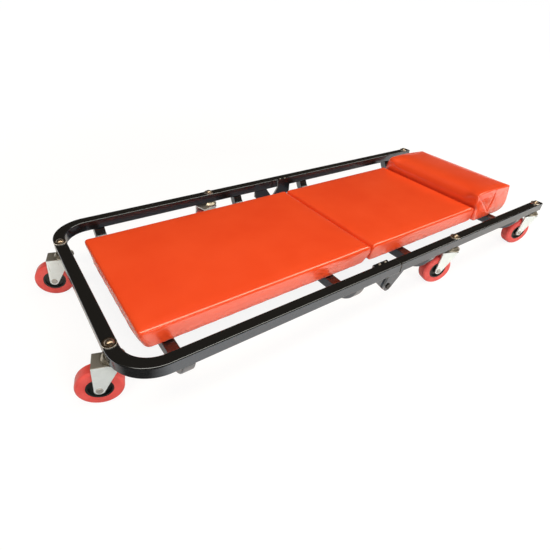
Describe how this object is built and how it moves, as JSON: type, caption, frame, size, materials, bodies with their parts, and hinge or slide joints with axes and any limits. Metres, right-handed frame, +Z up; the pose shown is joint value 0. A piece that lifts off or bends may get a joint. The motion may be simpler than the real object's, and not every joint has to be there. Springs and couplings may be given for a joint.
{
  "type": "folding mechanic creeper",
  "caption": "Folding mechanic creeper: padded halves on a hinged frame of bent square tube, with a raised headrest and swivel casters.",
  "frame": {"origin": "on the floor, under the middle of the overall box", "axes": "+X to the head end, +Y to the far rail, +Z up"},
  "size_m": [1.0623, 0.4438, 0.1304],
  "materials": {
    "frame_black": "gloss black powder coat",
    "plug_black": "satin",
    "vinyl_red": "smooth glossy vinyl over foam",
    "tyre_red": "satin polyurethane",
    "hub_black": "satin",
    "zinc": "bright zinc plate",
    "board": "raw particle board"
  },
  "bodies": {
    "foot_frame": {"foot_board": "board", "foot_caster_bolts": "zinc", "foot_caster_nuts": "zinc", "foot_caster_seats": "zinc", "foot_caster_washers": "zinc", "foot_crossbar_end": "frame_black", "foot_crossbar_mid": "frame_black", "foot_hinge_leaf_far": "frame_black", "foot_hinge_leaf_near": "frame_black", "foot_leaf_tacks": "zinc", "foot_pad": "vinyl_red", "foot_pad_screws": "zinc", "foot_rail": "frame_black", "foot_seam_plugs": "plug_black", "hinge_pins": "frame_black"},
    "head_frame": {"back_pad": "vinyl_red", "head_board": "board", "head_caster_bolts": "zinc", "head_caster_nuts": "zinc", "head_caster_seats": "zinc", "head_caster_washers": "zinc", "head_crossbar_end": "frame_black", "head_crossbar_mid": "frame_black", "head_end_plugs": "plug_black", "head_hinge_leaf_far": "frame_black", "head_hinge_leaf_near": "frame_black", "head_leaf_tacks": "zinc", "head_pad_screws": "zinc", "head_rail_far": "frame_black", "head_rail_near": "frame_black", "head_seam_plugs": "plug_black", "headrest": "vinyl_red"},
    "caster_foot_near": {"fork_foot_near": "zinc", "axle_foot_near": "zinc"},
    "wheel_foot_near": {"hub_foot_near": "hub_black", "tyre_foot_near": "tyre_red"},
    "caster_foot_far": {"fork_foot_far": "zinc", "axle_foot_far": "zinc"},
    "wheel_foot_far": {"hub_foot_far": "hub_black", "tyre_foot_far": "tyre_red"},
    "caster_mid_far": {"fork_mid_far": "zinc", "axle_mid_far": "zinc"},
    "wheel_mid_far": {"hub_mid_far": "hub_black", "tyre_mid_far": "tyre_red"},
    "caster_mid_near": {"fork_mid_near": "zinc", "axle_mid_near": "zinc"},
    "wheel_mid_near": {"hub_mid_near": "hub_black", "tyre_mid_near": "tyre_red"},
    "caster_head_near": {"fork_head_near": "zinc", "axle_head_near": "zinc"},
    "wheel_head_near": {"hub_head_near": "hub_black", "tyre_head_near": "tyre_red"},
    "caster_head_far": {"fork_head_far": "zinc", "axle_head_far": "zinc"},
    "wheel_head_far": {"hub_head_far": "hub_black", "tyre_head_far": "tyre_red"}
  },
  "joints": [
    {"name": "fold", "type": "hinge", "parent": "foot_frame", "child": "head_frame", "pos_m": [0.01542, 0, 0.043], "axis": [0, 1, 0], "range_deg": [0, 175]},
    {"name": "swivel_foot_near", "type": "hinge", "parent": "foot_frame", "child": "caster_foot_near", "pos_m": [-0.47458, -0.142, 0.077], "axis": [0, 0, 1], "continuous": true},
    {"name": "roll_foot_near", "type": "hinge", "parent": "caster_foot_near", "child": "wheel_foot_near", "pos_m": [-0.49788, -0.13443, 0.0325], "axis": [-0.309, -0.9511, 0], "continuous": true},
    {"name": "swivel_foot_far", "type": "hinge", "parent": "foot_frame", "child": "caster_foot_far", "pos_m": [-0.47458, 0.142, 0.077], "axis": [0, 0, 1], "continuous": true},
    {"name": "roll_foot_far", "type": "hinge", "parent": "caster_foot_far", "child": "wheel_foot_far", "pos_m": [-0.49788, 0.14957, 0.0325], "axis": [-0.309, -0.9511, 0], "continuous": true},
    {"name": "swivel_mid_far", "type": "hinge", "parent": "foot_frame", "child": "caster_mid_far", "pos_m": [-0.15258, 0.205, 0.077], "axis": [0, 0, 1], "continuous": true},
    {"name": "roll_mid_far", "type": "hinge", "parent": "caster_mid_far", "child": "wheel_mid_far", "pos_m": [-0.17588, 0.19743, 0.0325], "axis": [0.309, -0.9511, 0], "continuous": true},
    {"name": "swivel_mid_near", "type": "hinge", "parent": "head_frame", "child": "caster_mid_near", "pos_m": [0.18842, -0.205, 0.077], "axis": [0, 0, 1], "continuous": true},
    {"name": "roll_mid_near", "type": "hinge", "parent": "caster_mid_near", "child": "wheel_mid_near", "pos_m": [0.16512, -0.19743, 0.0325], "axis": [-0.309, -0.9511, 0], "continuous": true},
    {"name": "swivel_head_near", "type": "hinge", "parent": "head_frame", "child": "caster_head_near", "pos_m": [0.51242, -0.205, 0.077], "axis": [0, 0, 1], "continuous": true},
    {"name": "roll_head_near", "type": "hinge", "parent": "caster_head_near", "child": "wheel_head_near", "pos_m": [0.48912, -0.19743, 0.0325], "axis": [-0.309, -0.9511, 0], "continuous": true},
    {"name": "swivel_head_far", "type": "hinge", "parent": "head_frame", "child": "caster_head_far", "pos_m": [0.51242, 0.205, 0.077], "axis": [0, 0, 1], "continuous": true},
    {"name": "roll_head_far", "type": "hinge", "parent": "caster_head_far", "child": "wheel_head_far", "pos_m": [0.48912, 0.19743, 0.0325], "axis": [0.309, -0.9511, 0], "continuous": true}
  ]
}
